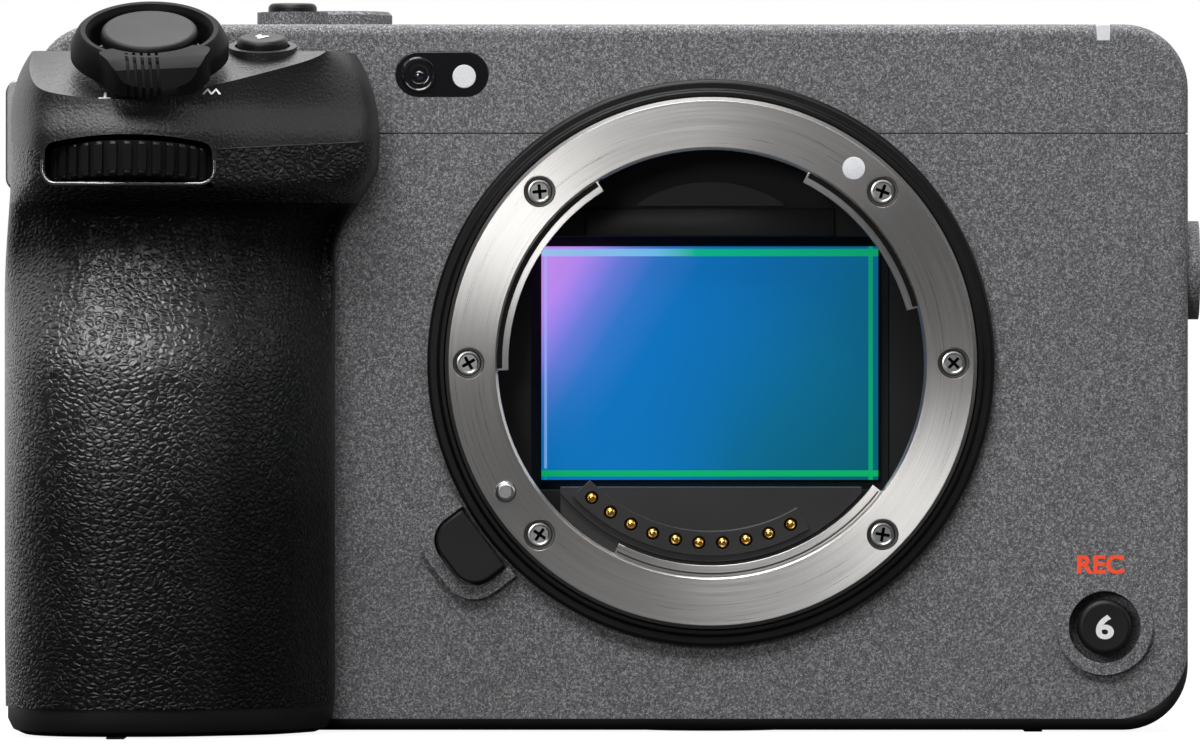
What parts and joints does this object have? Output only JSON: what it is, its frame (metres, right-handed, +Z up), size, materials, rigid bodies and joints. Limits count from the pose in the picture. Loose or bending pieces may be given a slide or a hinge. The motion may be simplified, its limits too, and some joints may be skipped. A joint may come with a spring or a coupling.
{
  "type": "cinema camera",
  "caption": "Compact cinema camera body with a side grip, open lens mount and a shutter, a shifting sensor, and a screen that swings out.",
  "frame": {"origin": "centre of the tripod socket's mouth, in the plane that the camera stands on", "axes": "+Z up; the lens looks along -Y; +X to the right as seen from the front; the sensor's light-sensitive plane is y = 0"},
  "size_m": [0.1304, 0.0855, 0.0792],
  "materials": {
    "body_paint": "fine speckled texture, matt",
    "black_paint": "satin",
    "black_plastic": "satin",
    "gloss_black": "glossy",
    "grip_rubber": "leather grain",
    "cover_rubber": "smooth",
    "mount_steel": "turned, satin",
    "screw_steel": "satin",
    "magnesium": "cast, matt",
    "plain_aluminium": "milled",
    "gold": "polished",
    "sensor": "coated",
    "clear": "clear",
    "screen": "glossy",
    "blade": "satin",
    "board": "circuit board",
    "battery_shell": "matt"
  },
  "bodies": {
    "camera": {"accessory_shoe": "screw_steel", "base_plate": "black_paint", "battery": "battery_shell", "battery_case": "black_plastic", "card_slots": "black_plastic", "chassis": "magnesium", "connectors": "black_plastic", "contact_block": "black_plastic", "fan_housing": "black_plastic", "feet": "cover_rubber", "front_cover": "body_paint", "front_windows": "clear", "grip_core": "black_plastic", "grip_head": "black_paint", "grip_skin": "grip_rubber", "heat_sink": "plain_aluminium", "housing_screws": "screw_steel", "light_baffle": "black_paint", "main_board": "board", "mount_collar": "black_paint", "mount_ring": "mount_steel", "mount_screws": "screw_steel", "rear_cover": "body_paint", "shutter_frame": "black_plastic", "side_cover": "body_paint", "strap_lug": "screw_steel", "thread_inserts": "screw_steel", "thumb_rest": "grip_rubber", "top_cover": "body_paint", "tripod_socket": "screw_steel"},
    "stabiliser_frame": {"stabiliser_carrier": "plain_aluminium"},
    "sensor": {"sensor_stage": "black_plastic", "sensor_glass": "sensor"},
    "upper_blade": {"shutter_blade_upper": "blade"},
    "lower_blade": {"shutter_blade_lower": "blade"},
    "pins": {"contact_pins": "gold"},
    "lens_release": {"release_button": "gloss_black"},
    "lens_lock": {"lock_pin": "screw_steel"},
    "front_record_button_body": {"front_record_button": "black_plastic"},
    "shutter_button_body": {"shutter_button": "gloss_black"},
    "grip_button_body": {"grip_button": "black_plastic"},
    "top_record_button_body": {"top_record_button": "black_plastic"},
    "top_button_body": {"top_button": "black_plastic"},
    "function_button_body": {"function_button": "black_plastic"},
    "wheel_button_body": {"wheel_button": "black_plastic"},
    "zoom": {"zoom_lever": "gloss_black"},
    "power": {"power_lever": "black_plastic"},
    "stick": {"joystick": "cover_rubber"},
    "front_wheel": {"front_dial": "gloss_black"},
    "rear_wheel": {"rear_dial": "black_plastic"},
    "back_wheel": {"control_wheel": "black_plastic"},
    "fan": {"fan_rotor": "black_plastic"},
    "screen": {"monitor_bracket": "black_plastic", "monitor": "black_plastic", "monitor_screen": "screen"},
    "battery_lid": {"battery_door": "black_plastic"},
    "battery_catch": {"battery_latch": "black_plastic"},
    "card_lid": {"card_door": "body_paint"},
    "audio_lid": {"audio_cover": "cover_rubber"},
    "digital_lid": {"digital_cover": "cover_rubber"}
  },
  "joints": [
    {"name": "sensor_shift_vertical", "type": "slide", "parent": "camera", "child": "stabiliser_frame", "axis": [0, 0, 1], "range_m": [-0.001, 0.001]},
    {"name": "sensor_shift_sideways", "type": "slide", "parent": "stabiliser_frame", "child": "sensor", "axis": [1, 0, 0], "range_m": [-0.001, 0.001]},
    {"name": "upper_blade_drop", "type": "slide", "parent": "camera", "child": "upper_blade", "axis": [0, 0, -1], "range_m": [0, 0.0138]},
    {"name": "lower_blade_drop", "type": "slide", "parent": "camera", "child": "lower_blade", "axis": [0, 0, -1], "range_m": [0, 0.0276]},
    {"name": "contact_travel", "type": "slide", "parent": "camera", "child": "pins", "axis": [0, 1, 0], "range_m": [0, 0.0004], "stiffness_N_per_m": 800, "springref_m": -0.0003},
    {"name": "release_travel", "type": "slide", "parent": "camera", "child": "lens_release", "axis": [0, 1, 0], "range_m": [0, 0.0015], "stiffness_N_per_m": 1500, "springref_m": -0.0003},
    {"name": "lock_travel", "type": "slide", "parent": "camera", "child": "lens_lock", "axis": [0, 1, 0], "range_m": [0, 0.0015]},
    {"name": "front_record_travel", "type": "slide", "parent": "camera", "child": "front_record_button_body", "axis": [0, 1, 0], "range_m": [0, 0.0006], "stiffness_N_per_m": 1200, "springref_m": -0.0003},
    {"name": "shutter_travel", "type": "slide", "parent": "camera", "child": "shutter_button_body", "axis": [0, 0.4305, -0.9026], "range_m": [0, 0.0012], "stiffness_N_per_m": 1200, "springref_m": -0.0003},
    {"name": "grip_button_travel", "type": "slide", "parent": "camera", "child": "grip_button_body", "axis": [0, 0.225, -0.9744], "range_m": [0, 0.0006], "stiffness_N_per_m": 1200, "springref_m": -0.0003},
    {"name": "top_record_travel", "type": "slide", "parent": "camera", "child": "top_record_button_body", "axis": [0, 0, -1], "range_m": [0, 0.0006], "stiffness_N_per_m": 1200, "springref_m": -0.0003},
    {"name": "top_button_travel", "type": "slide", "parent": "camera", "child": "top_button_body", "axis": [0, 0, -1], "range_m": [0, 0.0006], "stiffness_N_per_m": 1200, "springref_m": -0.0003},
    {"name": "function_travel", "type": "slide", "parent": "camera", "child": "function_button_body", "axis": [0, -1, 0], "range_m": [0, 0.0006], "stiffness_N_per_m": 1200, "springref_m": -0.0003},
    {"name": "wheel_button_travel", "type": "slide", "parent": "camera", "child": "wheel_button_body", "axis": [0, -1, 0], "range_m": [0, 0.0006], "stiffness_N_per_m": 1200, "springref_m": -0.0003},
    {"name": "zoom_swing", "type": "hinge", "parent": "camera", "child": "zoom", "pos_m": [-0.06005, -0.0325, 0.0713], "axis": [0, -0.4305, 0.9026], "range_deg": [-25, 25], "stiffness_Nm_per_rad": 0.02},
    {"name": "power_turn", "type": "hinge", "parent": "camera", "child": "power", "pos_m": [-0.0404, 0.009, 0.0767], "axis": [0, 0, 1], "range_deg": [0, 35]},
    {"name": "stick_tilt", "type": "hinge", "parent": "camera", "child": "stick", "pos_m": [-0.044, 0.03, 0.047], "axis": [1, 0, 0], "range_deg": [-8, 8], "stiffness_Nm_per_rad": 0.02},
    {"name": "front_dial_turn", "type": "hinge", "parent": "camera", "child": "front_wheel", "pos_m": [-0.06215, -0.0322, 0.0602], "axis": [0, 0.1736, 0.9848], "continuous": true},
    {"name": "rear_dial_turn", "type": "hinge", "parent": "camera", "child": "rear_wheel", "pos_m": [-0.061, 0.0246, 0.0715], "axis": [0, 0, 1], "continuous": true},
    {"name": "control_wheel_turn", "type": "hinge", "parent": "camera", "child": "back_wheel", "pos_m": [-0.047, 0.0339, 0.0245], "axis": [0, 1, 0], "continuous": true},
    {"name": "fan_turn", "type": "hinge", "parent": "camera", "child": "fan", "pos_m": [0.014, 0.012, 0.041], "axis": [0, 1, 0], "continuous": true},
    {"name": "screen_swing", "type": "hinge", "parent": "camera", "child": "screen", "pos_m": [0.0493, 0.0372, 0.0345], "axis": [0, 0, -1], "range_deg": [0, 176]},
    {"name": "battery_door_swing", "type": "hinge", "parent": "camera", "child": "battery_lid", "pos_m": [-0.04735, 0, 0.001], "axis": [0, -1, 0], "range_deg": [0, 85]},
    {"name": "battery_latch_travel", "type": "slide", "parent": "battery_lid", "child": "battery_catch", "axis": [1, 0, 0], "range_m": [0, 0.0015], "stiffness_N_per_m": 500, "springref_m": -0.0003},
    {"name": "card_door_swing", "type": "hinge", "parent": "camera", "child": "card_lid", "pos_m": [-0.07265, 0.01475, 0.037], "axis": [0, 0, 1], "range_deg": [0, 100]},
    {"name": "audio_cover_swing", "type": "hinge", "parent": "camera", "child": "audio_lid", "pos_m": [0.05095, 0.003, 0.04735], "axis": [0, 0, -1], "range_deg": [0, 100]},
    {"name": "digital_cover_swing", "type": "hinge", "parent": "camera", "child": "digital_lid", "pos_m": [0.05095, 0.003, 0.02268], "axis": [0, 0, -1], "range_deg": [0, 100]}
  ],
  "couplings": [
    {"joint": "lower_blade_drop", "follows": "upper_blade_drop", "ratio": 2},
    {"joint": "lock_travel", "follows": "release_travel", "ratio": 1}
  ]
}
